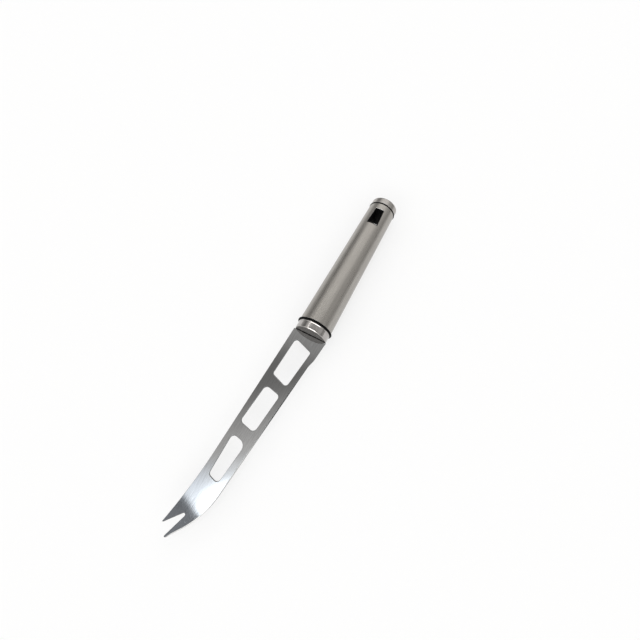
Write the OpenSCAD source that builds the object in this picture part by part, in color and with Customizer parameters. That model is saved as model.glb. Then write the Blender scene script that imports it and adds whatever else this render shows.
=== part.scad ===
// Cheese knife: a sheet steel blade with three windows and a forked tip,
// held in a round steel handle: a hollow tube with a hole to hang it by,
// and at each end a steel cap with a black ring between cap and tube.
// The knife lies flat. +X runs to the fork, +Y to the cutting edge, +Z up.
// Inside the modules x = 0 is the middle of the front ring, and the
// handle's axis is the line y = 0, z = 0.

/* [Blade] */
// Thickness of the blade's sheet
blade_t = 1.2; // [0.8:0.1:2]
// From the front cap to where the cutting edge starts to curve up
edge_len = 97.4; // [96:0.1:110]
// Distance of the spine from the handle's axis at the root
spine_reach = 10.4; // [10:0.1:12]
// Distance of the cutting edge side from the handle's axis at the root
edge_reach = 10.1; // [9.5:0.1:11]
// Angle of the spine to the handle's axis
spine_angle = 2.2; // [1:0.1:3]
// Angle of the cutting edge to the handle's axis
edge_angle = 5.2; // [4.5:0.1:5.8]
// Length of the unground root before the step in the cutting edge
choil_len = 12; // [8:0.5:14]
// Length of the step's slope
choil_run = 5; // [2:0.5:7]
// Depth of the step
choil_step = 0.7; // [0.3:0.1:1.5]
// Width of the ground bevel along the cutting edge
bevel_w = 0.9; // [0.6:0.1:2.5]
// Thickness left at the cutting edge
edge_land = 0.25; // [0.1:0.05:0.5]

/* [Blade windows] */
// Number of windows
window_count = 3; // [1:1:3]
// Steel between the root and the first window
window_start = 7.1; // [5:0.1:7.5]
// Distance from one window to the next
window_pitch = 30.8; // [28:0.1:31]
// Length of each window along the blade
window_len = [24.1, 23.5, 23.2]; // [16:0.1:24.5]
// Steel on the spine side of each window, at its handle end
spine_band_rear = [4.1, 4, 3.1]; // [2.5:0.1:6]
// Steel on the spine side of each window, at its tip end
spine_band_front = [3.8, 2.7, 3.9]; // [2.5:0.1:6]
// Steel on the cutting edge side of each window, at its handle end
edge_band_rear = [3.3, 3.8, 4.1]; // [3:0.1:5]
// Steel on the cutting edge side of each window, at its tip end
edge_band_front = [3.7, 3.9, 4.2]; // [3:0.1:5]
// Slant of each window's handle end
slant_rear = [19, 12, 11]; // [0:1:25]
// Slant of each window's tip end
slant_front = [19, 13, 17]; // [0:1:25]
// Corner radius of each window
window_round = [1.8, 2.4, 2.2]; // [0.5:0.1:2.5]
// Larger radius of the last window's corner at the cutting edge, handle end
window_heel_round = 4.2; // [1:0.1:4.5]

/* [Fork] */
// Radius of the curved belly of the cutting edge
belly_r = 43.5; // [42:0.5:45]
// Angle to the axis at which the belly runs out into its tine
belly_end_angle = 35.4; // [34:0.2:37]
// How far before the belly's start the spine begins to sweep up
sweep_lead = 17; // [12:0.5:22]
// Radius of the spine's sweep
sweep_r = 270; // [230:5:340]
// Length of the sweep along the axis
sweep_len = 39.3; // [30:0.1:40]
// From the belly's start to the point of the notch, before rounding
notch_ahead = 11.8; // [10:0.1:13]
// From the spine's straight line to the point of the notch
notch_inset = 5.9; // [5:0.1:7]
// Angle of the spine tine's inner side to the axis
spine_tine_angle = 39.4; // [36:0.2:42]
// Angle of the cutting side tine's inner side to the axis
edge_tine_angle = 17.6; // [15:0.2:20]
// Radius at the bottom of the notch
notch_r = 0.85; // [0.2:0.05:1]
// Radius of the spine tine's tip
spine_tip_r = 0.3; // [0.2:0.05:0.5]
// Radius of the cutting side tine's tip
edge_tip_r = 0.55; // [0.3:0.05:0.7]

/* [Tang] */
// Length of the tang behind the blade's shoulder
tang_len = 43; // [25:1:60]
// Width of the tang
tang_w = 12; // [8:0.5:14]
// Thickness of the tang, thinned where it enters the handle
tang_t = 1; // [0.6:0.1:1.2]
// Corner cut at the end of the tang
tang_corner = 2; // [0.5:0.5:3]
// Diameter of the two holes that key the tang in the plug
key_d = 5; // [3:0.5:7]
// From the end of the tang to the first keying hole
key_inset = 9; // [6:0.5:11]
// Distance between the keying holes
key_pitch = 15; // [9:0.5:17]

/* [Handle tube] */
// Length of the tube
tube_len = 90.8; // [75:0.1:125]
// Outer radius at the front end
front_r = 10; // [9:0.1:12]
// Outer radius at the rear end
rear_r = 8.35; // [7.5:0.05:9]
// Wall of the tube
tube_t = 0.8; // [0.5:0.1:1.2]
// Rounded rims of the tube and of the caps where they face it
rim_r = 0.25; // [0.1:0.05:0.35]

/* [Hang hole] */
// From the tube's rear end to the narrow end of the hole
hang_gap = 3.9; // [3.5:0.1:20]
// Length of the hole cut in the tube
hang_len = 12.4; // [9:0.1:20]
// Width of the hole at its end nearer the blade
hang_w_wide = 7.3; // [6.5:0.1:9]
// Width of the hole at its rear end
hang_w_narrow = 5.7; // [5.5:0.1:8]
// Corner radius of the hole
hang_round = 0.5; // [0.2:0.1:0.8]
// Wall of the liner in the hole
liner_t = 0.6; // [0.4:0.1:0.8]
// How far the liner's ends lie below the tube's surface
liner_recess = 0.3; // [0.1:0.1:0.6]

/* [Front cap and ring] */
// Length of the cap in front of the ring
cap_len = 4.8; // [3:0.1:8]
// Thickness of the cap's front plate and of both caps' skirts inside the tube
cap_t = 1; // [0.6:0.1:1.5]
// Rounded rim of the cap's front face
cap_rim_r = 0.6; // [0.3:0.1:1]
// How far the cap's skirt reaches into the tube
skirt_len = 6; // [3:0.5:10]
// Width of the front ring
ring_w = 1.2; // [0.8:0.1:2]
// How far the front ring stands out from the tube
ring_proud = 0.8; // [0.5:0.1:1.5]

/* [End cap and ring] */
// Length of the end cap behind its ring
end_cap_len = 6; // [4.5:0.1:10]
// Radius of the end cap's shoulder
shoulder_r = 1.5; // [0.8:0.1:3]
// Radius of the end cap's domed face
crown_r = 20; // [18:0.5:40]
// How far the end cap's skirt reaches into the tube
end_skirt_len = 3; // [2:0.1:3.2]
// Width of the rear ring
end_ring_w = 0.8; // [0.8:0.1:1.6]
// How far the rear ring stands out from the tube
end_ring_proud = 0.3; // [0.1:0.1:1]

/* [Plug] */
// How far the plug reaches past the end of the tang
plug_past_tang = 6; // [3:0.5:12]
// Number of glue grooves round the plug
groove_count = 3; // [1:1:4]
// Width of a glue groove
groove_w = 3; // [1:0.5:4]
// Depth of a glue groove
groove_depth = 0.6; // [0.3:0.1:1]

/* [Fits] */
// Gap round pressed and sliding round pieces
fit = 0.05; // [0.02:0.01:0.1]
// Gap between the blade's shoulder and the cap, and round the tang in its slot
seat_gap = 0.15; // [0.1:0.05:0.3]

/* [Hidden] */

// Flats in a drawn arc and in a rounded corner, and the fineness of what is turned
arc_steps = 24;
corner_steps = 8;
round_fn = 96;
// How far a cutter overshoots, and the least radius of a corner
over = 1;
least_r = 0.1;

// Places along the axis
tube_x = -ring_w / 2;
cap_x = ring_w / 2;
cap_front = cap_x + cap_len;
root_x = cap_front + seat_gap;
skirt_end = tube_x - skirt_len;
rear_x = tube_x - tube_len;
end_cap_x = rear_x - end_ring_w;
end_x = end_cap_x - end_cap_len;
end_skirt_x = rear_x + end_skirt_len;
dome_len = crown_r - sqrt(pow(crown_r - shoulder_r, 2) - pow(rear_r - shoulder_r, 2));
shoulder_x = end_x + dome_len;
hang_x = rear_x + hang_gap;
tang_end = root_x - tang_len;
plug_end = tang_end - plug_past_tang;
plug_face = cap_front - cap_t;

// Outer radius of the tube at a place along the axis, and of what is pressed into it
function tube_r(x) = front_r + (rear_r - front_r) * (x - tube_x) / (rear_x - tube_x);
function inner_r(x) = tube_r(x) - tube_t - fit;

// Radii that follow from the tube
ring_r = front_r + ring_proud;
skirt_r = inner_r(tube_x);
nose_r = inner_r(skirt_end) - cap_t - fit;
end_skirt_r = inner_r(rear_x);

// Where the line through p at angle a crosses the line through q at angle b
function meet(p, a, q, b) = p + cross(q - p, [cos(b), sin(b)]) / sin(b - a) * [cos(a), sin(a)];

// Points of an arc of a radius that leaves p downwards at angle a and steepens to angle b
function bend(p, a, b, r) =
    [for (i = [0 : arc_steps])
        let (t = a + (b - a) * i / arc_steps)
        p + r * [sin(t) - sin(a), cos(t) - cos(a)]];

// Points of an arc about c from angle a to angle b
function swing(c, r, a, b, steps) =
    [for (i = [0 : steps]) c + r * [cos(a + (b - a) * i / steps), sin(a + (b - a) * i / steps)]];

// Points that round the corner q between its neighbours p and s
function round_corner(p, q, s, r) =
    let (
        u = (p - q) / norm(p - q),
        v = (s - q) / norm(s - q),
        half = acos(u * v) / 2,
        c = q + (u + v) / norm(u + v) * r / sin(half),
        first = q + u * r / tan(half) - c,
        last = q + v * r / tan(half) - c,
        a = atan2(first[1], first[0]),
        gap = atan2(last[1], last[0]) - a,
        turn = gap > 180 ? gap - 360 : gap < -180 ? gap + 360 : gap
    )
    swing(c, r, a, a + turn, corner_steps);

// A closed outline with a radius at each of its corners, none where it is 0
function round_all(points, radii) =
    let (n = len(points))
    [for (i = [0 : n - 1])
        each radii[i] > 0
            ? round_corner(points[(i + n - 1) % n], points[i], points[(i + 1) % n], radii[i])
            : [points[i]]];

// The two long sides of the blade as straight lines
function spine_y(x) = -spine_reach - (x - root_x) * tan(spine_angle);
function edge_y(x) = edge_reach - choil_step - (x - root_x) * tan(edge_angle);

// The curved parts, the notch and the tines
belly_x = root_x + edge_len;
belly = bend([belly_x, edge_y(belly_x)], edge_angle, belly_end_angle, belly_r);
sweep_x = belly_x - sweep_lead;
sweep_end_angle = asin(sin(spine_angle) + sweep_len / sweep_r);
sweep = bend([sweep_x, spine_y(sweep_x)], spine_angle, sweep_end_angle, sweep_r);
notch = [belly_x + notch_ahead, spine_y(belly_x) + notch_inset];
spine_tip = meet(sweep[arc_steps], -sweep_end_angle, notch, -spine_tine_angle);
edge_tip = meet(belly[arc_steps], -belly_end_angle, notch, -edge_tine_angle);
step_x = root_x + choil_len;
grind_x = step_x + choil_run;

// Root corner, spine, fork, belly, edge, step and root corner, in order
outline = concat(
    [[root_x, spine_y(root_x)]],
    sweep,
    round_corner(sweep[arc_steps], spine_tip, notch, spine_tip_r),
    round_corner(spine_tip, notch, edge_tip, notch_r),
    round_corner(notch, edge_tip, belly[arc_steps], edge_tip_r),
    [for (i = [arc_steps : -1 : 0]) belly[i]],
    [[grind_x, edge_y(grind_x)]],
    [[step_x, edge_y(step_x) + choil_step]],
    [[root_x, edge_reach]]
);

// The whole knife's box, from which it is set on its origin
tip_x = max([for (p = outline) p[0]]);
spine_min = min([for (p = outline) p[1]]);
shift = [-(tip_x + end_x) / 2, -(ring_r + spine_min) / 2, ring_r];

// Corners of a window, from its handle end on the cutting edge side round to its tip end
function window_points(i) =
    let (
        rear = root_x + window_start + i * window_pitch,
        front = rear + window_len[i],
        spine_a = [rear, spine_y(rear) + spine_band_rear[i]],
        spine_b = [front, spine_y(front) + spine_band_front[i]],
        edge_a = [rear, edge_y(rear) - edge_band_rear[i]],
        edge_b = [front, edge_y(front) - edge_band_front[i]],
        along_spine = atan2(spine_b[1] - spine_a[1], spine_b[0] - spine_a[0]),
        along_edge = atan2(edge_b[1] - edge_a[1], edge_b[0] - edge_a[0]),
        mid_rear = (spine_a + edge_a) / 2,
        mid_front = (spine_b + edge_b) / 2,
        lean_rear = 90 - slant_rear[i],
        lean_front = 90 - slant_front[i]
    )
    [
        meet(edge_a, along_edge, mid_rear, lean_rear),
        meet(spine_a, along_spine, mid_rear, lean_rear),
        meet(spine_a, along_spine, mid_front, lean_front),
        meet(edge_a, along_edge, mid_front, lean_front)
    ];

// Only the last of three windows has the larger corner
function window_radii(i) =
    let (r = window_round[i])
    [i == 2 ? window_heel_round : r, r, r, r];

// Half the hang hole's width, narrower by an inset on every side
function hang_half(x, inset) =
    (hang_w_narrow + (hang_w_wide - hang_w_narrow) * (x - hang_x) / hang_len) / 2 - inset;

// Outline of the hang hole, or of what fits in it
function hang_points(inset) =
    let (
        a = hang_x + inset,
        b = hang_x + hang_len - inset,
        r = max(hang_round - inset, least_r)
    )
    round_all(
        [[a, -hang_half(a, inset)], [b, -hang_half(b, inset)],
         [b, hang_half(b, inset)], [a, hang_half(a, inset)]],
        [r, r, r, r]);

// End cap's profile from its shoulder round its domed face to the axis
function dome_points() =
    let (
        corner_c = [shoulder_x, rear_r - shoulder_r],
        crown_c = [end_x + crown_r, 0],
        join = 180 - atan2(corner_c[1], crown_c[0] - shoulder_x)
    )
    concat(
        swing(corner_c, shoulder_r, 90, join, corner_steps),
        swing(crown_c, crown_r, join + (180 - join) / corner_steps, 180, corner_steps - 1));

// A ring's profile between x and x + w, from a bore to a rounded outside
function ring_points(x, w, bore, outer) = concat(
    [[x, bore]],
    swing([x + w / 2, outer - w / 2], w / 2, 180, 0, 2 * corner_steps),
    [[x + w, bore]]);

// Turns a profile of [place along the axis, radius] round the handle's axis
module turned(profile) {
    rotate([0, 90, 0])
        rotate_extrude($fn = round_fn)
            polygon([for (p = profile) [max(p[1], 0), p[0]]]);
}

// The strip that grinding takes off one face, seen across the edge at its foot
module grind_section() {
    slope = (blade_t - edge_land) / 2 / bevel_w;
    polygon([
        [-over, edge_land / 2 - over * slope],
        [bevel_w + over, edge_land / 2 + (bevel_w + over) * slope],
        [-over, blade_t + over]
    ]);
}

// Grinding along a straight stretch from p to q, on the upper face
module grind_straight(p, q) {
    d = q - p;
    translate([p[0], p[1], 0])
        rotate([0, 0, atan2(d[1], d[0])])
            rotate([90, 0, 90])
                linear_extrude(norm(d))
                    mirror([1, 0])
                        grind_section();
}

// Grinding round the belly, on the upper face
module grind_belly() {
    c = [belly_x, edge_y(belly_x)] - belly_r * [sin(edge_angle), cos(edge_angle)];
    translate([c[0], c[1], 0])
        rotate([0, 0, 90 - belly_end_angle])
            rotate_extrude(angle = belly_end_angle - edge_angle, $fn = 4 * round_fn)
                translate([belly_r, 0])
                    mirror([1, 0])
                        grind_section();
}

module both_faces() {
    children();
    mirror([0, 0, 1]) children();
}

// Moves a piece from the handle's axis to the knife's origin
module placed() {
    translate(shift) children();
}

// Blade with windows, fork and ground edge, and its tang with two keying holes
module blade() {
    color("#a3a6a9") placed() {
        difference() {
            translate([0, 0, -blade_t / 2])
                linear_extrude(blade_t)
                    difference() {
                        polygon(outline);
                        for (i = [0 : window_count - 1])
                            polygon(round_all(window_points(i), window_radii(i)));
                    }
            both_faces() {
                grind_straight([grind_x, edge_y(grind_x)], [belly_x, edge_y(belly_x)]);
                grind_belly();
                grind_straight(belly[arc_steps], edge_tip);
            }
        }
        difference() {
            translate([0, 0, -tang_t / 2])
                linear_extrude(tang_t)
                    polygon([
                        [root_x, -tang_w / 2], [root_x, tang_w / 2],
                        [tang_end + tang_corner, tang_w / 2],
                        [tang_end, tang_w / 2 - tang_corner],
                        [tang_end, tang_corner - tang_w / 2],
                        [tang_end + tang_corner, -tang_w / 2]
                    ]);
            key_places() cylinder(h = tang_t + 2 * over, d = key_d, center = true, $fn = round_fn);
        }
    }
}

// Puts a copy at each keying hole
module key_places() {
    for (i = [0 : 1])
        translate([tang_end + key_inset + i * key_pitch, 0, 0]) children();
}

// Polished cap in front of the ring, with a slot for the tang and a skirt in the tube
module front_cap() {
    color("#8f8c88") placed()
        difference() {
            turned(concat(
                [[cap_front, 0]],
                swing([cap_front - cap_rim_r, front_r - cap_rim_r], cap_rim_r, 0, 90, corner_steps),
                swing([cap_x + rim_r, front_r - rim_r], rim_r, 90, 180, corner_steps),
                [[cap_x, skirt_r], [tube_x, skirt_r], [skirt_end, inner_r(skirt_end)],
                 [skirt_end, nose_r + fit], [plug_face, nose_r + fit], [plug_face, 0]]
            ));
            translate([plug_face - over, -tang_w / 2 - seat_gap, -tang_t / 2 - seat_gap])
                cube([cap_t + 2 * over, tang_w + 2 * seat_gap, tang_t + 2 * seat_gap]);
        }
}

// Black ring squeezed between the tube and the front cap
module front_ring() {
    color("#101010") placed()
        turned(ring_points(tube_x, ring_w, skirt_r + fit, ring_r));
}

// Drawn steel tube, tapered, with the hang hole through both walls
module handle_tube() {
    color("#aeaaa2") placed()
        difference() {
            turned(concat(
                [[tube_x, front_r - tube_t]],
                swing([tube_x - rim_r, front_r - rim_r], rim_r, 0, 90, corner_steps),
                swing([rear_x + rim_r, rear_r - rim_r], rim_r, 90, 180, corner_steps),
                [[rear_x, rear_r - tube_t]]
            ));
            linear_extrude(4 * front_r, center = true)
                polygon(hang_points(0));
        }
}

// Black ring squeezed between the tube and the end cap
module rear_ring() {
    color("#101010") placed()
        turned(ring_points(end_cap_x, end_ring_w, end_skirt_r + fit, rear_r + end_ring_proud));
}

// Steel cap with a domed face that closes the rear end, with a skirt in the tube
module end_cap() {
    color("#9a9792") placed()
        turned(concat(
            [[end_skirt_x, end_skirt_r], [end_cap_x, end_skirt_r]],
            swing([end_cap_x - rim_r, rear_r - rim_r], rim_r, 0, 90, corner_steps),
            dome_points(),
            [[shoulder_x, 0], [shoulder_x, end_skirt_r - cap_t], [end_skirt_x, end_skirt_r - cap_t]]
        ));
}

// Moulded plug that holds the tang, fills the cap and grips the tube from inside
module core_plug() {
    land_len = skirt_end - plug_end;
    pitch = land_len / groove_count;
    color("#3a3a3c") placed() {
        difference() {
            turned([
                [plug_face, 0], [plug_face, nose_r], [skirt_end, nose_r],
                [skirt_end, inner_r(skirt_end)], [plug_end, inner_r(plug_end)], [plug_end, 0]
            ]);
            for (i = [0 : groove_count - 1])
                let (x = plug_end + (i + 0.5) * pitch - groove_w / 2, r = inner_r(x) - groove_depth)
                turned([[x, r], [x + groove_w, r], [x + groove_w, front_r], [x, front_r]]);
            difference() {
                translate([tang_end, -tang_w / 2, -tang_t / 2])
                    cube([plug_face - tang_end + over, tang_w, tang_t]);
                key_places()
                    cylinder(h = tang_t + 2 * over, d = key_d - 2 * fit, center = true, $fn = round_fn);
            }
        }
    }
}

// Black sleeve that lines the hang hole and closes the tube round it
module hang_liner() {
    color("#0c0c0c") placed()
        intersection() {
            linear_extrude(4 * front_r, center = true)
                difference() {
                    polygon(hang_points(fit));
                    polygon(hang_points(fit + liner_t));
                }
            turned([
                [tube_x, 0], [tube_x, front_r - liner_recess],
                [rear_x, rear_r - liner_recess], [rear_x, 0]
            ]);
        }
}

blade();
front_cap();
front_ring();
handle_tube();
rear_ring();
end_cap();
core_plug();
hang_liner();
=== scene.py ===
from math import cos, pi, radians, sin, tan

import bpy
import numpy as np
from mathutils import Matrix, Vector
from mathutils.geometry import delaunay_2d_cdt


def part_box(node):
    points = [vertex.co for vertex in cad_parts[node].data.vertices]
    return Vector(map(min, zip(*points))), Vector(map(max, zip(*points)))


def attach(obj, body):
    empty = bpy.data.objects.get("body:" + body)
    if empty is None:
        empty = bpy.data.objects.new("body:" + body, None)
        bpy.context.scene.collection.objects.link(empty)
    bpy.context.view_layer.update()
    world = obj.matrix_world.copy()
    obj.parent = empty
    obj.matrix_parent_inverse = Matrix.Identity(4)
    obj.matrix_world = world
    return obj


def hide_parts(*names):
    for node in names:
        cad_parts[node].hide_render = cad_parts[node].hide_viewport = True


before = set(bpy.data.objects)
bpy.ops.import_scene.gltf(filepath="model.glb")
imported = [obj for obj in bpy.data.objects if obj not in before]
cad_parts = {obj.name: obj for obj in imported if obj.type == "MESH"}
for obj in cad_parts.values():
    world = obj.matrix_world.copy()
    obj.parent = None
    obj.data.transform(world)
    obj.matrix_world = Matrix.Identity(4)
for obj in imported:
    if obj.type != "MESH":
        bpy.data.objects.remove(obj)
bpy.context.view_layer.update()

MM = 0.001
scene = bpy.context.scene

# Blade: 1.2 mm stainless sheet, stamped with three windows and a two-tined fork,
# ground to an edge on both faces and finished along its length. Its narrower tang
# runs through the front cap into the plug, which grips it by two holes.
ring_lo, ring_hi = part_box("front_ring")
CENTRE = np.array((ring_lo + ring_hi) / 2)      # middle of the front ring, on the handle's axis

ROOT_X, SPINE_REACH, EDGE_REACH = 5.55, 10.4, 10.1
SPINE_ANGLE, EDGE_ANGLE = radians(2.2), radians(5.2)
STEP_X, GRIND_X, STEP_DEPTH = 17.55, 22.55, 0.7
BELLY_X, BELLY_R, BELLY_END = 102.95, 43.5, radians(35.4)
SWEEP_X, SWEEP_R, SWEEP_LEN = 85.95, 270.0, 39.3
NOTCH_AHEAD, NOTCH_INSET = 11.8, 5.9
TINE_ANGLES = radians(39.4), radians(17.6)
HALF_SHEET, HALF_EDGE, GRIND_W = 0.6, 0.35, 0.45
# The last is how much of the cut edges' roughness and painted shade the ground edge is spared.
SOFT_EDGE, ROLLOVER, GROUND_EDGE_SPARED = 0.14, 0.38, 0.8
OUTLINE_GAP, WINDOW_GAP, TANG_GAP = 0.8, 1.0, 3.0       # widest gap between an outline's points


def spine_y(x):
    return -SPINE_REACH - (x - ROOT_X) * tan(SPINE_ANGLE)


def edge_y(x):
    return EDGE_REACH - STEP_DEPTH - (x - ROOT_X) * tan(EDGE_ANGLE)


def meet(p, a, q, b):
    """Where the line through p at angle a crosses the line through q at angle b."""
    d = q - p
    return p + (d[0] * sin(b) - d[1] * cos(b)) / sin(b - a) * np.array([cos(a), sin(a)])


def bend(p, a, b, r, steps):
    """Points of an arc that leaves p downwards at angle a and steepens to angle b."""
    return [p + r * np.array([sin(t) - sin(a), cos(t) - cos(a)]) for t in np.linspace(a, b, steps)]


def rounded(corners, steps=10):
    """A closed outline from (point, radius) pairs; a corner with radius 0 stays sharp."""
    made = []
    for i, (q, r) in enumerate(corners):
        if r == 0:
            made.append(q)
            continue
        p, s = corners[i - 1][0], corners[(i + 1) % len(corners)][0]
        u, v = (p - q) / np.linalg.norm(p - q), (s - q) / np.linalg.norm(s - q)
        half = np.arccos(u @ v) / 2
        c = q + (u + v) / np.linalg.norm(u + v) * r / sin(half)
        first, last = q + u * r / tan(half) - c, q + v * r / tan(half) - c
        a = np.arctan2(first[1], first[0])
        turn = (np.arctan2(last[1], last[0]) - a + pi) % (2 * pi) - pi
        made += [c + r * np.array([cos(a + turn * t), sin(a + turn * t)])
                 for t in np.linspace(0, 1, steps + 1)]
    return np.array(made)


def closer(points, gap):
    """The same closed outline with points no further apart than the gap."""
    made = []
    for p, q in zip(points, np.roll(points, -1, axis=0)):
        n = max(1, int(np.ceil(np.linalg.norm(q - p) / gap)))
        made += [p + (q - p) * k / n for k in range(n)]
    return np.array(made)


def inside(points, loop):
    """Which points lie inside a closed outline."""
    hit = np.zeros(len(points), bool)
    for (x0, y0), (x1, y1) in zip(loop, np.roll(loop, -1, axis=0)):
        crossing = (y0 > points[:, 1]) != (y1 > points[:, 1])
        with np.errstate(divide="ignore", invalid="ignore"):
            at = x0 + (points[:, 1] - y0) * (x1 - x0) / (y1 - y0)
        hit ^= crossing & (points[:, 0] < at)
    return hit


def plate(loops, ground, half):
    """A flat sheet with rounded or ground edges: vertices, faces, normals and an edge mask.
    loops[0] runs anticlockwise round the sheet, the others clockwise round its holes, which
    are rolled over more at their tip ends. Five rings of points lead from the edge's middle to
    the face, each given by its distance in from the outline, its height and its normal's tilt."""
    quarter = np.linspace(0, pi / 2, 5)
    slope = np.arctan2(half - HALF_EDGE, GRIND_W)
    facet = pi / 2 - slope
    rise = tan(slope)
    ground_rings = np.array([
        [0, HALF_EDGE - 0.04, 0], [0.02, HALF_EDGE + 0.01, facet * 0.7],
        [0.07, HALF_EDGE + 0.07 * rise, facet], [GRIND_W - 0.05, half - 0.05 * rise, facet],
        [GRIND_W + 0.03, half, pi / 2]])
    rings, normals, masks = ([[] for _ in range(5)] for _ in range(3))
    for loop, g in zip(loops, ground):
        ahead = np.roll(loop, -1, axis=0) - loop
        ahead /= np.linalg.norm(ahead, axis=1)[:, None]
        out = np.stack([ahead[:, 1], -ahead[:, 0]], 1)
        both = out + np.roll(out, 1, axis=0)
        both /= np.linalg.norm(both, axis=1)[:, None]
        mitre = both / np.maximum((both * out).sum(1), 0.5)[:, None]
        soft = np.full(len(loop), SOFT_EDGE)
        if loop is not loops[0]:
            soft += ROLLOVER * np.clip(-both[:, 0], 0, 1) ** 2
        for k, a in enumerate(quarter):
            plain = np.column_stack([soft * (1 - cos(a)), half - soft * (1 - sin(a)),
                                     np.full(len(loop), a)])
            d, z, a = ((1 - g)[:, None] * plain + g[:, None] * ground_rings[k]).T
            rings[k].append(np.column_stack([loop - mitre * d[:, None], z]))
            normals[k].append(np.column_stack([both * np.cos(a)[:, None], np.sin(a)]))
            masks[k].append(np.zeros(len(loop)) if k == 4 else 1 - GROUND_EDGE_SPARED * g)
    sizes = [len(p) for p in loops]
    starts = np.concatenate([[0], np.cumsum(sizes)])
    total = starts[-1]
    top = np.concatenate([np.concatenate(r) for r in rings])
    top_n = np.concatenate([np.concatenate(r) for r in normals])
    flip = np.array([1, 1, -1])
    faces = []
    low = 5 * total
    for s, n in zip(starts, sizes):
        i = s + np.arange(n)
        j = s + (np.arange(n) + 1) % n
        for k in range(4):
            a, b = k * total, (k + 1) * total
            faces += np.column_stack([a + i, a + j, b + j, b + i]).tolist()
            faces += np.column_stack([low + b + i, low + b + j, low + a + j, low + a + i]).tolist()
        faces += np.column_stack([low + i, low + j, j, i]).tolist()
    rim = np.concatenate(rings[4])[:, :2]
    edges = [(int(s + k), int(s + (k + 1) % n)) for s, n in zip(starts, sizes) for k in range(n)]
    flat, _, tris, *_ = delaunay_2d_cdt([Vector(p) for p in rim], edges, [], 0, 1e-7)
    assert len(flat) == len(rim)
    tris = np.array(tris)
    middle = rim[tris].mean(1)
    keep = inside(middle, rim[:sizes[0]])
    for s, n in zip(starts[1:-1], sizes[1:]):
        keep &= ~inside(middle, rim[s:s + n])
    tris = tris[keep] + 4 * total
    faces += tris.tolist() + (tris[:, ::-1] + low).tolist()
    mask = np.concatenate([np.concatenate(m) for m in masks])
    return (np.concatenate([top, top * flip]), faces,
            np.concatenate([top_n, top_n * flip]), np.concatenate([mask, mask]))


def piece(name, parts):
    """One object from plates, in metres in the knife's frame, with its normals and edge mask."""
    start, verts, faces, normals, masks = 0, [], [], [], []
    for v, f, n, m in parts:
        verts.append(v)
        faces += [[i + start for i in face] for face in f]
        normals.append(n)
        masks.append(m)
        start += len(v)
    verts = np.concatenate(verts) * MM + CENTRE
    mesh = bpy.data.meshes.new(name)
    mesh.from_pydata(verts.tolist(), [], faces)
    mesh.shade_smooth()
    mesh.normals_split_custom_set_from_vertices(np.concatenate(normals).tolist())
    mask = mesh.attributes.new("cut_edge", "FLOAT", "POINT")
    mask.data.foreach_set("value", np.concatenate(masks).astype(np.float32))
    obj = bpy.data.objects.new(name, mesh)
    scene.collection.objects.link(obj)
    return obj


belly_start = np.array([BELLY_X, edge_y(BELLY_X)])
belly = bend(belly_start, EDGE_ANGLE, BELLY_END, BELLY_R, 49)
sweep_end = np.arcsin(sin(SPINE_ANGLE) + SWEEP_LEN / SWEEP_R)
sweep = bend(np.array([SWEEP_X, spine_y(SWEEP_X)]), SPINE_ANGLE, sweep_end, SWEEP_R, 49)
notch = np.array([BELLY_X + NOTCH_AHEAD, spine_y(BELLY_X) + NOTCH_INSET])
spine_tip = meet(sweep[-1], -sweep_end, notch, -TINE_ANGLES[0])
edge_tip = meet(belly[-1], -BELLY_END, notch, -TINE_ANGLES[1])
ROOT_R, SPINE_TIP_R, NOTCH_R, EDGE_TIP_R, GRIND_R, STEP_R = 0.2, 0.3, 0.85, 0.55, 3.0, 2.0
corners = [(np.array([ROOT_X, spine_y(ROOT_X)]), ROOT_R)]
corners += [(p, 0) for p in sweep]
corners += [(spine_tip, SPINE_TIP_R), (notch, NOTCH_R), (edge_tip, EDGE_TIP_R)]
corners += [(p, 0) for p in belly[::-1]]
corners += [(np.array([GRIND_X, edge_y(GRIND_X)]), GRIND_R),
            (np.array([STEP_X, edge_y(STEP_X) + STEP_DEPTH]), STEP_R),
            (np.array([ROOT_X, EDGE_REACH]), ROOT_R)]
outline = closer(rounded(corners), OUTLINE_GAP)

# The ground edge starts at the step and runs out before the edge's tine ends.
loops, ground = [outline], []
PLAIN_START, PLAIN_END, RUN_OUT = 1.0, 1.2, 5.0
weight = np.clip((outline[:, 0] - STEP_X - PLAIN_START) / (GRIND_X - STEP_X), 0, 1)
weight *= np.clip((edge_tip[0] - PLAIN_END - outline[:, 0]) / RUN_OUT, 0, 1)
weight = weight * weight * (3 - 2 * weight)
first_tip = int(np.argmax(outline[:, 0]))
past_tip = np.arange(len(outline)) > first_tip
ground.append(np.where(past_tip, weight, 0.0))

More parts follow.
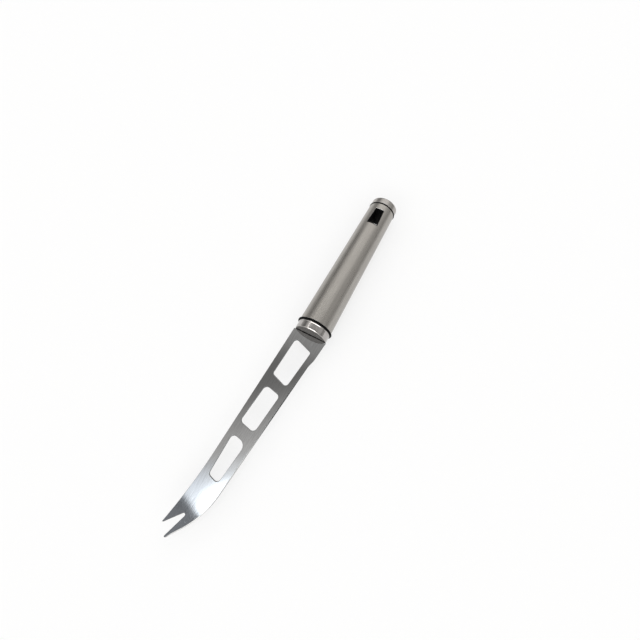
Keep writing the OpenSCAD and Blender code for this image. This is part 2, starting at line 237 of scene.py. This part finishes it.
WINDOW_START, WINDOW_PITCH, WINDOW_LEN = 7.1, 30.8, (24.1, 23.5, 23.2)
SPINE_BANDS = (4.1, 3.8), (4.0, 2.7), (3.1, 3.9)
EDGE_BANDS = (3.3, 3.7), (3.8, 3.9), (4.1, 4.2)
SLANTS = (19, 19), (12, 13), (11, 17)
WINDOW_ROUNDS = (1.8, 1.8), (2.4, 2.4), (2.2, 4.2)
for i in range(3):
    rear = ROOT_X + WINDOW_START + i * WINDOW_PITCH
    front = rear + WINDOW_LEN[i]
    sides = [[np.array([x, spine_y(x) + band]) for x, band in zip((rear, front), SPINE_BANDS[i])],
             [np.array([x, edge_y(x) - band]) for x, band in zip((rear, front), EDGE_BANDS[i])]]
    (spine_a, spine_b), (edge_a, edge_b) = sides
    along = [np.arctan2(b[1] - a[1], b[0] - a[0]) for a, b in sides]
    lean = [radians(90 - s) for s in SLANTS[i]]
    mid_rear, mid_front = (spine_a + edge_a) / 2, (spine_b + edge_b) / 2
    r, heel = WINDOW_ROUNDS[i]
    window = rounded([
        (meet(edge_a, along[1], mid_rear, lean[0]), heel),
        (meet(spine_a, along[0], mid_rear, lean[0]), r),
        (meet(spine_a, along[0], mid_front, lean[1]), r),
        (meet(edge_a, along[1], mid_front, lean[1]), r)])
    loops.append(closer(window, WINDOW_GAP)[::-1])
    ground.append(np.zeros(len(loops[-1])))

TANG_LEN, TANG_W, TANG_CORNER, HALF_TANG, TANG_OVERLAP, TANG_R = 43.0, 12.0, 2.0, 0.5, 0.5, 0.3
KEY_R, KEY_INSET, KEY_PITCH = 2.5, 9.0, 15.0
tang_end = ROOT_X - TANG_LEN
half_w = TANG_W / 2
tang_start = ROOT_X + TANG_OVERLAP
tang = closer(rounded([(np.array(p), TANG_R) for p in (
    (tang_start, -half_w), (tang_start, half_w), (tang_end + TANG_CORNER, half_w),
    (tang_end, half_w - TANG_CORNER), (tang_end, TANG_CORNER - half_w),
    (tang_end + TANG_CORNER, -half_w))], 4), TANG_GAP)
round_trip = np.linspace(0, -2 * pi, 48, endpoint=False)
tang_loops = [tang] + [
    np.column_stack([tang_end + KEY_INSET + k * KEY_PITCH + KEY_R * np.cos(round_trip),
                     KEY_R * np.sin(round_trip)]) for k in range(2)]
blade = piece("knife_blade", [
    plate(loops, ground, HALF_SHEET),
    plate(tang_loops, [np.zeros(len(p)) for p in tang_loops], HALF_TANG)])


def sockets(group, **values):
    """Makes a group's inputs, each with its value, or its outputs where the value is None."""
    for name, value in values.items():
        kind = "NodeSocketVector" if name.endswith("Vector") else "NodeSocketFloat"
        way = "OUTPUT" if value is None else "INPUT"
        socket = group.interface.new_socket(name.replace("_", " "), in_out=way, socket_type=kind)
        if value is not None and kind == "NodeSocketFloat":
            socket.default_value = value


class Nodes:
    """Adds and joins the nodes of one tree."""

    def __init__(self, tree):
        self.tree = tree

    def add(self, kind, values=None, **settings):
        node = self.tree.nodes.new(kind)
        for key, value in settings.items():
            setattr(node, key, value)
        for key, value in (values or {}).items():
            if isinstance(value, bpy.types.NodeSocket):
                self.tree.links.new(value, node.inputs[key])
            else:
                node.inputs[key].default_value = value
        return node

    def sum(self, operation, *inputs):
        return self.add("ShaderNodeMath", dict(enumerate(inputs)), operation=operation).outputs[0]

    def vec(self, operation, *inputs):
        node = self.add("ShaderNodeVectorMath", dict(enumerate(inputs)), operation=operation)
        return node.outputs["Value" if operation in ("DOT_PRODUCT", "LENGTH") else "Vector"]

    def ramp(self, value, low, high, to_low=0.0, to_high=1.0, smooth=True):
        return self.add("ShaderNodeMapRange", {
            "Value": value, "From Min": low, "From Max": high, "To Min": to_low, "To Max": to_high},
            interpolation_type="SMOOTHSTEP" if smooth else "LINEAR").outputs["Result"]

    def noise(self, vector, scale, detail=2.0, rough=0.5):
        return self.add("ShaderNodeTexNoise", {
            "Vector": vector, "Scale": scale, "Detail": detail, "Roughness": rough}).outputs["Fac"]

    def mix(self, factor, a, b):
        node = self.add("ShaderNodeMix", {0: factor, 6: a, 7: b}, data_type="RGBA")
        return node.outputs[2]


# Marks of a finishing belt or a lathe tool: fine lines and broader streaks, along the
# vector's X. It is used for every steel face.
belt_marks = bpy.data.node_groups.new("belt_marks", "ShaderNodeTree")
sockets(belt_marks, Vector=0, Mark_length=0.02, Mark_width=0.0002, Lines=None, Streaks=None)
n = Nodes(belt_marks)
given = n.add("NodeGroupInput").outputs
squeeze = n.sum("DIVIDE", given["Mark width"], given["Mark length"])
flat_grain = n.add("ShaderNodeCombineXYZ", {0: squeeze, 1: 1.0, 2: 1.0}).outputs[0]
grain = n.vec("MULTIPLY", given["Vector"], flat_grain)
fine = n.sum("DIVIDE", 1.0, given["Mark width"])
lines = n.noise(grain, fine, 3.0, 0.65)
streaks = n.noise(grain, n.sum("MULTIPLY", fine, 0.12), 2.0, 0.5)
n.add("NodeGroupOutput", {"Lines": n.ramp(lines, 0.25, 0.75, smooth=False),
                          "Streaks": n.ramp(streaks, 0.3, 0.7, smooth=False)})

# What handling leaves on steel: soft smudges and a few hair scratches in all directions.
handling = bpy.data.node_groups.new("handling", "ShaderNodeTree")
sockets(handling, Vector=0, Smudge_scale=60.0, Scratch_scale=140.0, Smudges=None, Scratches=None)
n = Nodes(handling)
given = n.add("NodeGroupInput").outputs
smudge = n.ramp(n.noise(given["Vector"], given["Smudge scale"], 4.0, 0.55), 0.42, 0.68)
bent = n.noise(given["Vector"], given["Scratch scale"], 1.0, 0.4)
hair = n.ramp(n.sum("ABSOLUTE", n.sum("SUBTRACT", bent, 0.5)), 0.0, 0.0035, 1.0, 0.0)
some = n.ramp(n.noise(given["Vector"], n.sum("MULTIPLY", given["Scratch scale"], 2.3)), 0.55, 0.7)
n.add("NodeGroupOutput", {"Smudges": smudge, "Scratches": n.sum("MULTIPLY", hair, some)})


# The belt marks' darker tone, then the painted shade on cut edges: how dark it is, and how much of it
# is used.
MARK_SHADE, CUT_EDGE_PAINTED_SHADE, CUT_EDGE_SHADE_SHARE = 0.75, 0.2, 0.9
MARK_DEPTH, PORE_DEPTH = 0.00002, 0.00003
# The colour of the shade painted into the joints at the blade's root, and the roughness it adds.
JOINT_SHADE_COLOUR, JOINT_SHADE_ROUGH = (0.015, 0.014, 0.013, 1), 0.3


def steel(name, colour, dark, rough, mark, strength, lay="along", depth=0.35,
          smudged=0.05, spread=0.0, joint_shade=None, edge_rough=None):
    """Bare steel. dark is the colour in its streaks, rough the least and most roughness, mark the
    length and width of a belt mark, lay the way the marks run: along the knife or round it, and
    depth how dark they are. smudged is the roughness of a smudge, spread how far the marks
    spread a reflection round the handle, the joint function gives the mask of shade painted
    into a joint, and edge_rough is what a cut edge adds to the roughness; where it is given, a
    cut edge is also darkened with painted shade."""
    made = bpy.data.materials.new(name)
    made.use_nodes = True
    n = Nodes(made.node_tree)
    shader = made.node_tree.nodes["Principled BSDF"]
    place = n.add("ShaderNodeTexCoord").outputs["Object"]
    from_axis = n.vec("SUBTRACT", place, tuple(CENTRE))
    vector = from_axis
    if lay == "round":
        xyz = n.add("ShaderNodeSeparateXYZ", {0: from_axis}).outputs
        radius = n.sum("SQRT", n.sum("ADD", n.sum("MULTIPLY", xyz[1], xyz[1]),
                                     n.sum("MULTIPLY", xyz[2], xyz[2])))
        vector = n.add("ShaderNodeCombineXYZ", {0: xyz[1], 1: radius, 2: xyz[0]}).outputs[0]
    belt = n.add("ShaderNodeGroup", {"Vector": vector, "Mark length": mark[0],
                                     "Mark width": mark[1]}, node_tree=belt_marks)
    touch = n.add("ShaderNodeGroup", {"Vector": place}, node_tree=handling)
    lines, streaks = belt.outputs
    smudges, scratches = touch.outputs
    tone = n.mix(streaks, (*dark, 1), (*colour, 1))
    tone = n.mix(n.sum("MULTIPLY", lines, depth), tone, (*[c * MARK_SHADE for c in colour], 1))
    gloss = n.sum("ADD", n.ramp(lines, 0, 1, rough[0], rough[1], smooth=False),
                  n.sum("MULTIPLY", smudges, smudged))
    gloss = n.sum("ADD", gloss, n.sum("MULTIPLY", scratches, smudged * 2))
    # A cut edge: rougher, as a stamped edge is, and darkened in colour, which is painted shade along
    # the edge.
    if edge_rough is not None:
        cut = n.add("ShaderNodeAttribute", attribute_name="cut_edge").outputs["Fac"]
        gloss = n.sum("ADD", gloss, n.sum("MULTIPLY", cut, edge_rough))
        shade = (*[c * CUT_EDGE_PAINTED_SHADE for c in colour], 1)
        tone = n.mix(n.sum("MULTIPLY", cut, CUT_EDGE_SHADE_SHARE), tone, shade)
    # Painted shade in a joint: where the joint's mask is, the colour goes nearly black and the
    # roughness rises.
    if joint_shade is not None:
        joint_shade_mask = joint_shade(n, n.add("ShaderNodeSeparateXYZ", {0: from_axis}).outputs)
        gloss = n.sum("ADD", gloss, n.sum("MULTIPLY", joint_shade_mask, JOINT_SHADE_ROUGH))
        tone = n.mix(joint_shade_mask, tone, JOINT_SHADE_COLOUR)
    height = n.sum("SUBTRACT", lines, n.sum("MULTIPLY", scratches, 0.8))
    bump = n.add("ShaderNodeBump", {"Strength": strength, "Distance": MARK_DEPTH, "Height": height})
    for socket, value in (("Base Color", tone), ("Roughness", gloss), ("Normal", bump.outputs[0])):
        n.tree.links.new(value, shader.inputs[socket])
    shader.inputs["Metallic"].default_value = 1.0
    if spread:
        shader.inputs["Anisotropic"].default_value = spread
        round_axis = n.add("ShaderNodeTangent", direction_type="RADIAL", axis="X").outputs[0]
        n.tree.links.new(round_axis, shader.inputs["Tangent"])
    return made


def root_joint_shade(n, xyz):
    """Painted shade along the blade's root, in the joint with the cap, with a ragged border."""
    full, gone, ragged = (ROOT_X + 0.15) * MM, (ROOT_X + 0.5) * MM, 0.25 * MM
    place = n.add("ShaderNodeTexCoord").outputs["Object"]
    border = n.ramp(n.noise(place, 900.0), 0.3, 0.7, 0.0, ragged)
    return n.ramp(n.sum("ADD", xyz[0], border), full, gone, 1.0, 0.0)


blade_steel = steel("blade_steel", colour=(0.60, 0.60, 0.60), dark=(0.55, 0.55, 0.55),
                    rough=(0.03, 0.06), mark=(0.006, 0.0006), strength=0.06, depth=1.0,
                    smudged=0.012, joint_shade=root_joint_shade, edge_rough=0.3)
blade.data.materials.append(blade_steel)
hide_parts("blade")
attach(blade, "root")

# Front cap: turned from bar, a short collar with a bevelled rim, a slot for the tang and a
# low bead beside the ring, polished after turning. Its hollow skirt is pressed into the
# tube, and the plug fills it.
TUBE_T, FIT, CAP_T = 0.8, 0.05, 1.0
FRONT_R, REAR_R, RIM_R = 10.0, 8.35, 0.25
TUBE_X, REAR_X = -0.6, -91.4
CAP_X, CAP_FRONT, SKIRT_END = 0.6, 5.4, -6.6
CAP_RIM_R, FACET_W, FACET_ANGLE = 0.35, 0.3, 53.0
BEAD_H, BEAD_FOOT, BEAD_TOP, BEAD_R = 0.2, 0.8, 0.53, 0.18
PLUG_FACE = CAP_FRONT - CAP_T


def tube_r(x):
    return FRONT_R + (REAR_R - FRONT_R) * (x - TUBE_X) / (REAR_X - TUBE_X)


def inner_r(x):
    return tube_r(x) - TUBE_T - FIT


def arc(c, r, a, b, steps=8):
    """Points of an arc about c, from a to b degrees."""
    return [(c[0] + r * cos(radians(t)), c[1] + r * sin(radians(t)))
            for t in np.linspace(a, b, steps + 1)]


def held(points, closed):
    """A profile with a point close to each end of its straight parts, which keeps them straight."""
    near_end, short = 0.05, 0.3
    made = []
    pairs = zip(points, points[1:] + points[:1] if closed else points[1:])
    for p, q in pairs:
        p, q = np.array(p), np.array(q)
        length = np.linalg.norm(q - p)
        made.append(p)
        if length > short:
            made += [p + (q - p) * near_end / length, q - (q - p) * near_end / length]
    made.append(np.array(points[0] if closed else points[-1]))
    return made


# The tree that turns a profile round the handle's axis.
SAME_POINT, SHARP = 2e-6, radians(32)
turned = bpy.data.node_groups.new("turned", "GeometryNodeTree")
turned.is_modifier = True
ports = turned.interface
ports.new_socket("Profile", in_out="INPUT", socket_type="NodeSocketGeometry")
ports.new_socket("Axis", in_out="INPUT", socket_type="NodeSocketVector")
ports.new_socket("Steps round", in_out="INPUT", socket_type="NodeSocketInt")
ports.new_socket("Finish", in_out="INPUT", socket_type="NodeSocketMaterial")
ports.new_socket("Turned", in_out="OUTPUT", socket_type="NodeSocketGeometry")
n = Nodes(turned)
given = n.add("NodeGroupInput").outputs
count = n.add("GeometryNodeAttributeDomainSize", {"Geometry": given["Profile"]}).outputs[0]
across = n.sum("ADD", given["Steps round"], 1.0)
grid = n.add("GeometryNodeMeshGrid", {"Vertices X": count, "Vertices Y": across})
index = n.add("GeometryNodeInputIndex").outputs[0]
row = n.sum("FLOOR", n.sum("DIVIDE", n.sum("ADD", index, 0.5), across))
column = n.sum("SUBTRACT", index, n.sum("MULTIPLY", row, across))
spot = n.add("GeometryNodeInputPosition").outputs[0]
sample = n.add("GeometryNodeSampleIndex", data_type="FLOAT_VECTOR", domain="POINT")
n.tree.links.new(given["Profile"], sample.inputs["Geometry"])
n.tree.links.new(spot, sample.inputs["Value"])
n.tree.links.new(row, sample.inputs["Index"])
xyz = n.add("ShaderNodeSeparateXYZ", {0: sample.outputs[0]}).outputs
angle = n.sum("MULTIPLY", n.sum("DIVIDE", column, given["Steps round"]), -2 * pi)
ring_point = n.add("ShaderNodeCombineXYZ", {
    0: xyz[0], 1: n.sum("MULTIPLY", xyz[2], n.sum("SINE", angle)),
    2: n.sum("MULTIPLY", xyz[2], n.sum("COSINE", angle))}).outputs[0]
placed = n.vec("ADD", ring_point, given["Axis"])
shaped = n.add("GeometryNodeSetPosition", {"Geometry": grid.outputs["Mesh"], "Position": placed})
merged = n.add("GeometryNodeMergeByDistance", {"Geometry": shaped.outputs[0], "Distance": SAME_POINT})
whole = n.add("GeometryNodeRealizeInstances", {"Geometry": merged.outputs[0]})
finished = n.add("GeometryNodeSetMaterial", {"Geometry": whole.outputs[0],
                                             "Material": given["Finish"]})
n.add("NodeGroupOutput", {"Turned": finished.outputs[0]})


def turn(name, points, finish, steps=192, closed=True):
    """A piece turned from a profile of (place along the axis, radius) that runs from the tip's
    side to the rear along its outside."""
    outline = held(points, closed)
    profile = bpy.data.meshes.new(name)
    profile.from_pydata([(x * MM, 0, r * MM) for x, r in outline],
                        [(k, k + 1) for k in range(len(outline) - 1)], [])
    obj = bpy.data.objects.new(name, profile)
    scene.collection.objects.link(obj)
    worker = obj.modifiers.new("turned", "NODES")
    worker.node_group = turned
    key = {s.name: s.identifier for s in turned.interface.items_tree if s.in_out == "INPUT"}
    worker[key["Axis"]] = tuple(CENTRE)
    worker[key["Steps round"]] = steps
    worker[key["Finish"]] = finish
    settle(obj)
    return obj


def settle(obj):
    """Makes what the modifiers give the object's own mesh, and smooths all but its sharp edges."""
    bpy.context.view_layer.update()
    made = bpy.data.meshes.new_from_object(
        obj.evaluated_get(bpy.context.evaluated_depsgraph_get()))
    obj.modifiers.clear()
    obj.data = made
    made.name = obj.name
    made.shade_smooth()
    made.set_sharp_from_angle(angle=SHARP)


def cut_away(obj, corners, low, high, axis):
    """Cuts a prism out of a piece, between two places along an axis."""
    ends = []
    for place in (low, high):
        for p in corners:
            ends.append((p[0], p[1], place) if axis == "Z" else (place, p[0], p[1]))
    k = len(corners)
    sides = [[i, (i + 1) % k, k + (i + 1) % k, k + i] for i in range(k)]
    mesh = bpy.data.meshes.new("cutter")
    mesh.from_pydata((np.array(ends) * MM + CENTRE).tolist(), [],
                     sides + [list(range(k))[::-1], list(range(k, 2 * k))])
    cutter = bpy.data.objects.new("cutter", mesh)
    scene.collection.objects.link(cutter)
    worker = obj.modifiers.new("cut", "BOOLEAN")
    worker.operation, worker.solver, worker.object = "DIFFERENCE", "EXACT", cutter
    settle(obj)
    bpy.data.objects.remove(cutter)


def slot_joint_shade(n, xyz):
    """Painted shade in the joint between the cap's face and the blade."""
    sheet, gone = HALF_SHEET * MM, (HALF_SHEET + 0.3) * MM
    near_slot = n.ramp(n.sum("ABSOLUTE", xyz[2]), sheet, gone, 1.0, 0.0)
    on_face = n.ramp(xyz[0], (CAP_FRONT - 0.2) * MM, (CAP_FRONT - 0.1) * MM)
    return n.sum("MULTIPLY", near_slot, on_face)


cap_steel = steel("cap_steel", colour=(0.50, 0.48, 0.465), dark=(0.40, 0.385, 0.37),
                  rough=(0.08, 0.16), mark=(0.012, 0.00016), strength=0.04, lay="round",
                  joint_shade=slot_joint_shade)
facet_start = (CAP_FRONT - CAP_RIM_R * (1 - cos(radians(FACET_ANGLE))),
               FRONT_R - BEAD_H - FACET_W * cos(radians(FACET_ANGLE)))
front_cap = turn("front_collar", [
    (CAP_FRONT, 0.0),
    *arc((CAP_FRONT - CAP_RIM_R, facet_start[1] - CAP_RIM_R * sin(radians(FACET_ANGLE))),
         CAP_RIM_R, 0, FACET_ANGLE),
    (facet_start[0] - FACET_W * sin(radians(FACET_ANGLE)), FRONT_R - BEAD_H),
    (CAP_X + BEAD_FOOT, FRONT_R - BEAD_H), (CAP_X + BEAD_TOP, FRONT_R),
    *arc((CAP_X + BEAD_R, FRONT_R - BEAD_R), BEAD_R, 90, 180, 5),
    (CAP_X, inner_r(TUBE_X)), (TUBE_X, inner_r(TUBE_X)), (SKIRT_END, inner_r(SKIRT_END)),
    (SKIRT_END, inner_r(SKIRT_END) - CAP_T), (PLUG_FACE, inner_r(SKIRT_END) - CAP_T),
    (PLUG_FACE, 0.0)], cap_steel, closed=False)
SLOT_FIT, CUT_PAST = 0.15, 0.5
slot_w, slot_t = half_w + SLOT_FIT, HALF_TANG + SLOT_FIT
cut_away(front_cap, [(-slot_w, -slot_t), (slot_w, -slot_t), (slot_w, slot_t), (-slot_w, slot_t)],
         PLUG_FACE - CUT_PAST, CAP_FRONT + CUT_PAST, "X")
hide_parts("front_cap")
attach(front_cap, "root")

# The two black rings: moulded rubber, squeezed between each cap and the tube, with a
# rounded outside. The front one stands out more than the rear one.
RING_W, RING_R, END_RING_W, END_RING_R = 1.2, 10.8, 0.8, 8.65


def moulded(name, colour, rough, pore, strength, shine=0.5):
    """Matt moulded rubber or plastic with a fine pebbled skin and dull patches."""
    made = bpy.data.materials.new(name)
    made.use_nodes = True
    n = Nodes(made.node_tree)
    shader = made.node_tree.nodes["Principled BSDF"]
    place = n.add("ShaderNodeTexCoord").outputs["Object"]
    skin = n.noise(place, 1 / pore, 3.0, 0.6)
    touch = n.add("ShaderNodeGroup", {"Vector": place}, node_tree=handling)
    tone = n.mix(touch.outputs["Smudges"], (*colour, 1), (*[c * 1.5 for c in colour], 1))
    gloss = n.sum("ADD", n.ramp(skin, 0.3, 0.7, rough[0], rough[1], smooth=False),
                  n.sum("MULTIPLY", touch.outputs["Smudges"], 0.08))
    bump = n.add("ShaderNodeBump", {"Strength": strength, "Distance": PORE_DEPTH, "Height": skin})
    for socket, value in (("Base Color", tone), ("Roughness", gloss), ("Normal", bump.outputs[0])):
        n.tree.links.new(value, shader.inputs[socket])
    shader.inputs["Specular IOR Level"].default_value = shine
    return made


ring_rubber = moulded("ring_rubber", colour=(0.0028, 0.0028, 0.003), rough=(0.45, 0.6),
                      pore=0.00025, strength=0.25, shine=0.05)
for name, node, x, w, bore, outer in (
        ("front_band", "front_ring", TUBE_X, RING_W, inner_r(TUBE_X) + FIT, RING_R),
        ("rear_band", "rear_ring", REAR_X - END_RING_W, END_RING_W, inner_r(REAR_X) + FIT,
         END_RING_R)):
    band = turn(name, [(x + w, bore), *arc((x + w / 2, outer - w / 2), w / 2, 0, 180, 14),
                       (x, bore)], ring_rubber)
    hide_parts(node)
    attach(band, "root")

# Handle tube: drawn stainless tube, swaged to a slight taper and belted along its length,
# with rounded rims and a trapezoid hang hole punched through both walls.
HANG_X, HANG_LEN, HANG_NARROW, HANG_WIDE, HANG_ROUND = -87.5, 12.4, 5.7, 7.3, 0.5
tube_steel = steel("tube_steel", colour=(0.46, 0.44, 0.41), dark=(0.37, 0.35, 0.325),
                   rough=(0.22, 0.32), mark=(0.045, 0.0004), strength=0.5, depth=0.6,
                   spread=0.6)
tube = turn("handle_body", [
    (TUBE_X, FRONT_R - TUBE_T), *arc((TUBE_X - RIM_R, FRONT_R - RIM_R), RIM_R, 0, 90),
    *arc((REAR_X + RIM_R, REAR_R - RIM_R), RIM_R, 90, 180), (REAR_X, REAR_R - TUBE_T)],
    tube_steel, steps=256)
hole = rounded([(np.array(p), HANG_ROUND) for p in (
    (HANG_X, -HANG_NARROW / 2), (HANG_X + HANG_LEN, -HANG_WIDE / 2),
    (HANG_X + HANG_LEN, HANG_WIDE / 2), (HANG_X, HANG_NARROW / 2))], 8)
cut_away(tube, hole, -2 * FRONT_R, 2 * FRONT_R, "Z")
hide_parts("handle_tube")
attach(tube, "root")

# End cap: turned like the front one and left a little duller, with a low domed face and a
# short skirt pressed into the tube's rear end.
END_CAP_X, END_X, SHOULDER_R, CROWN_R, END_SKIRT = REAR_X - END_RING_W, -98.2, 1.5, 20.0, 3.0
shoulder_x = END_X + CROWN_R - np.sqrt((CROWN_R - SHOULDER_R) ** 2 - (REAR_R - SHOULDER_R) ** 2)
crown_x = END_X + CROWN_R
join = 180 - np.degrees(np.arctan2(REAR_R - SHOULDER_R, crown_x - shoulder_x))
end_steel = steel("end_steel", colour=(0.47, 0.45, 0.43), dark=(0.41, 0.39, 0.37),
                  rough=(0.2, 0.3), mark=(0.012, 0.0002), strength=0.1, lay="round")
end_cap = turn("end_collar", [
    (shoulder_x, 0.0), (shoulder_x, inner_r(REAR_X) - CAP_T),
    (REAR_X + END_SKIRT, inner_r(REAR_X) - CAP_T), (REAR_X + END_SKIRT, inner_r(REAR_X)),
    (END_CAP_X, inner_r(REAR_X)), *arc((END_CAP_X - RIM_R, REAR_R - RIM_R), RIM_R, 0, 90),
    *arc((shoulder_x, REAR_R - SHOULDER_R), SHOULDER_R, 90, join, 12),
    *arc((crown_x, 0.0), CROWN_R, join, 180, 16)[1:]], end_steel, closed=False)
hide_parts("end_cap")
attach(end_cap, "root")

# Hang liner and core plug: the black sleeve in the hang hole, and the plug that grips the
# tang. Both are moulded, and their own solids are shown.
liner_plastic = moulded("liner_plastic", colour=(0.0018, 0.0018, 0.002), rough=(0.5, 0.65),
                        pore=0.0003, strength=0.3, shine=0.06)
plug_plastic = moulded("plug_plastic", colour=(0.03, 0.03, 0.033), rough=(0.5, 0.65),
                       pore=0.0004, strength=0.3)
for node, slot, finish in (("hang_liner", "liner_plastic", liner_plastic),
                           ("core_plug", "plug_plastic", plug_plastic)):
    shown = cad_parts[node]
    shown.data.materials.clear()
    shown.data.materials.append(finish)

# The floor: a plain pale sheet with a painted falloff of light, its colour and glow darkening to
# # half from near the knife out to its edges. The camera, metal and glass see it near white.
FLOOR_HALF, FLOOR_NEAR, FLOOR_DROP, WHITE_SHARE = 3.0, 0.6, 0.0001, 0.7
floor_mesh = bpy.data.meshes.new("floor")
floor_mesh.from_pydata([(-FLOOR_HALF, -FLOOR_HALF, 0), (FLOOR_HALF, -FLOOR_HALF, 0),
                        (FLOOR_HALF, FLOOR_HALF, 0), (-FLOOR_HALF, FLOOR_HALF, 0)], [],
                       [(0, 1, 2, 3)])
floor = bpy.data.objects.new("floor", floor_mesh)
scene.collection.objects.link(floor)
floor.location.z = -FLOOR_DROP
paper = bpy.data.materials.new("pale_floor")
paper.use_nodes = True
n = Nodes(paper.node_tree)
paper.node_tree.nodes.remove(paper.node_tree.nodes["Principled BSDF"])
seen = n.add("ShaderNodeLightPath").outputs
distance = n.vec("LENGTH", n.add("ShaderNodeTexCoord").outputs["Object"])
# Painted falloff of light: the floor's colour and glow get darker the further they are from the
# knife.
painted_falloff = n.ramp(distance, FLOOR_NEAR, FLOOR_HALF)
glowing = n.mix(painted_falloff, (1, 1, 1, 1), (0.5, 0.5, 0.49, 1))
pale = n.mix(painted_falloff, (0.94, 0.94, 0.94, 1), (0.47, 0.47, 0.46, 1))
white = n.add("ShaderNodeEmission", {"Color": glowing, "Strength": 1.0})
matt = n.add("ShaderNodeBsdfDiffuse", {"Color": pale})
by_ray = n.sum("MAXIMUM", seen["Is Camera Ray"],
               n.sum("MAXIMUM", seen["Is Glossy Ray"], seen["Is Transmission Ray"]))
sheet = n.add("ShaderNodeMixShader", {0: n.sum("MULTIPLY", by_ray, WHITE_SHARE), 1: matt.outputs[0],
                                      2: white.outputs[0]})
n.tree.links.new(sheet.outputs[0], paper.node_tree.nodes["Material Output"].inputs["Surface"])
floor_mesh.materials.append(paper)

# The studio: a dim room with soft boxes overhead, painted by direction. Places overhead are
# given as X / Z and Y / Z of the direction.
world = bpy.data.worlds.new("studio")
scene.world = world
world.use_nodes = True
n = Nodes(world.node_tree)
way = n.add("ShaderNodeTexCoord").outputs["Generated"]
xyz = n.add("ShaderNodeSeparateXYZ", {0: way}).outputs
up = n.sum("MAXIMUM", xyz[2], 0.02)
across_x, across_y = n.sum("DIVIDE", xyz[0], up), n.sum("DIVIDE", xyz[1], up)


def soft_box(x0, x1, y0, y1, soft, level):
    """How bright a soft box is, from its edges, the softness of each and its level."""
    made = level
    for value, low, high, (s0, s1) in ((across_x, x0, x1, soft[:2]), (across_y, y0, y1, soft[2:])):
        made = n.sum("MULTIPLY", made, n.ramp(value, low - s0, low + s0))
        made = n.sum("MULTIPLY", made, n.ramp(value, high - s1, high + s1, 1.0, 0.0))
    return made


# Each box lights one part: its edges, the softness of each, and its level. The dark flag
# takes light away, and the two wide lights are open on their far sides.
ROOM, WALLS, WIDE, OPEN = 0.24, 0.22, 0.95, 100.0
level = n.ramp(xyz[2], 0.1, 0.4, ROOM + WALLS, ROOM)
wide_light = n.ramp(xyz[2], 0.12, 0.4, 0.0, WIDE)
soft_boxes = {
    "over the handle": (-1.6, -0.38, -1.1, 0.5, (0.3, 0.015, 0.6, 0.25), 0.85),
    "beside it": (-1.9, -0.38, 0.6, 2.6, (0.3, 0.015, 0.3, 0.7), 0.38),
    "beyond the handle's end": (-2.2, -0.95, -0.5, 0.6, (0.3, 0.15, 0.2, 0.3), 0.8),
    "spot in the cap": (-0.435, -0.405, -0.74, -0.56, (0.01, 0.01, 0.04, 0.04), 3.0),
    "glow in the blade's root": (-0.365, -0.29, -0.5, 0.2, (0.01, 0.04, 0.1, 0.1), 0.18),
    "strip in the ground edge": (0.0, 1.0, 0.55, 1.7, (0.08, 0.3, 0.15, 0.4), 1.15),
    "dark flag in the ground edge": (-0.18, -0.03, 0.75, 1.5, (0.03, 0.03, 0.1, 0.15), -0.21),
    "glow in the fork": (0.1, 0.26, -0.4, 0.1, (0.02, 0.03, 0.1, 0.1), 0.1),
    "glow in the cap's face": (0.26, 1.2, -0.6, 0.6, (0.06, 0.3, 0.2, 0.2), 0.17),
    "beyond the tip": (0.5, OPEN, -0.7, OPEN, (0.15, 1.0, 0.12, 1.0), wide_light),
    "beside the spine": (-0.3, OPEN, -OPEN, -0.7, (0.1, 1.0, 1.0, 0.12), wide_light),
    "lamp in the cap's rims": (1.25, 1.85, -0.9, 1.1, (0.12, 0.2, 0.2, 0.25), 4.6)}
for box in soft_boxes.values():
    level = n.sum("ADD", level, soft_box(*box))

# Over the belly: a sheet of light that grows towards the fork, turns cooler and ends on a
# slant. The fork sees the cool dark behind it.
MIDDLE_Y, NEAR_SLANT, FAR_SLANT = 0.217, 0.85, -0.33
middle = n.sum("ADD", across_y, MIDDLE_Y)
near = n.sum("ADD", across_x, n.sum("MULTIPLY", middle, NEAR_SLANT))
far = n.ramp(n.sum("ADD", across_x, n.sum("MULTIPLY", middle, FAR_SLANT)), 0.082, 0.094, 1.0, 0.0)
over_blade = soft_box(-0.25, 0.2, -0.5, 0.1, (0.05, 0.04, 0.1, 0.1), 1.0)
begun = n.sum("MULTIPLY", n.ramp(near, -0.24, -0.02, 0.0, 0.45), far)
level = n.sum("ADD", level, n.sum("MULTIPLY", begun, over_blade))
tint = n.mix(n.sum("MULTIPLY", over_blade, n.ramp(across_x, -0.03, 0.05)),
             (1.0, 0.99, 0.975, 1), (0.92, 0.97, 1.05, 1))
light = n.add("ShaderNodeBackground", {"Color": tint, "Strength": level})
brightest = n.sum("MULTIPLY", n.ramp(near, 0.0, 0.05, 0.0, 1.8), n.ramp(across_y, -0.25, -0.215))
growth = n.sum("ADD", n.ramp(near, -0.06, 0.05, 0.0, 1.03), brightest)
growth = n.sum("MULTIPLY", n.sum("MULTIPLY", growth, far), over_blade)
cool = n.add("ShaderNodeBackground", {"Color": (0.86, 0.93, 1.0, 1), "Strength": growth})
both = n.add("ShaderNodeAddShader", {0: light.outputs[0], 1: cool.outputs[0]})
n.tree.links.new(both.outputs[0], world.node_tree.nodes["World Output"].inputs["Surface"])

# The camera stands over the tip, as it did for the photo.
LENS, SENSOR, HALF_PIXEL = 27.0, 36.0, 0.5 / 640
FROM_CENTRE, LOOK = np.array([0.0927, 0.0526, 0.2565]), Vector((-0.352, -0.1855, -0.9174))
camera_data = bpy.data.cameras.new("camera")
camera_data.lens, camera_data.sensor_width = LENS, SENSOR
camera_data.shift_x, camera_data.shift_y = -HALF_PIXEL, HALF_PIXEL
camera_data.clip_start = 0.01
camera = bpy.data.objects.new("camera", camera_data)
scene.collection.objects.link(camera)
camera.location = Vector(CENTRE + FROM_CENTRE)
camera.rotation_mode = "QUATERNION"
camera.rotation_quaternion = LOOK.to_track_quat("-Z", "Y")
scene.camera = camera

scene.view_settings.view_transform = "Standard"
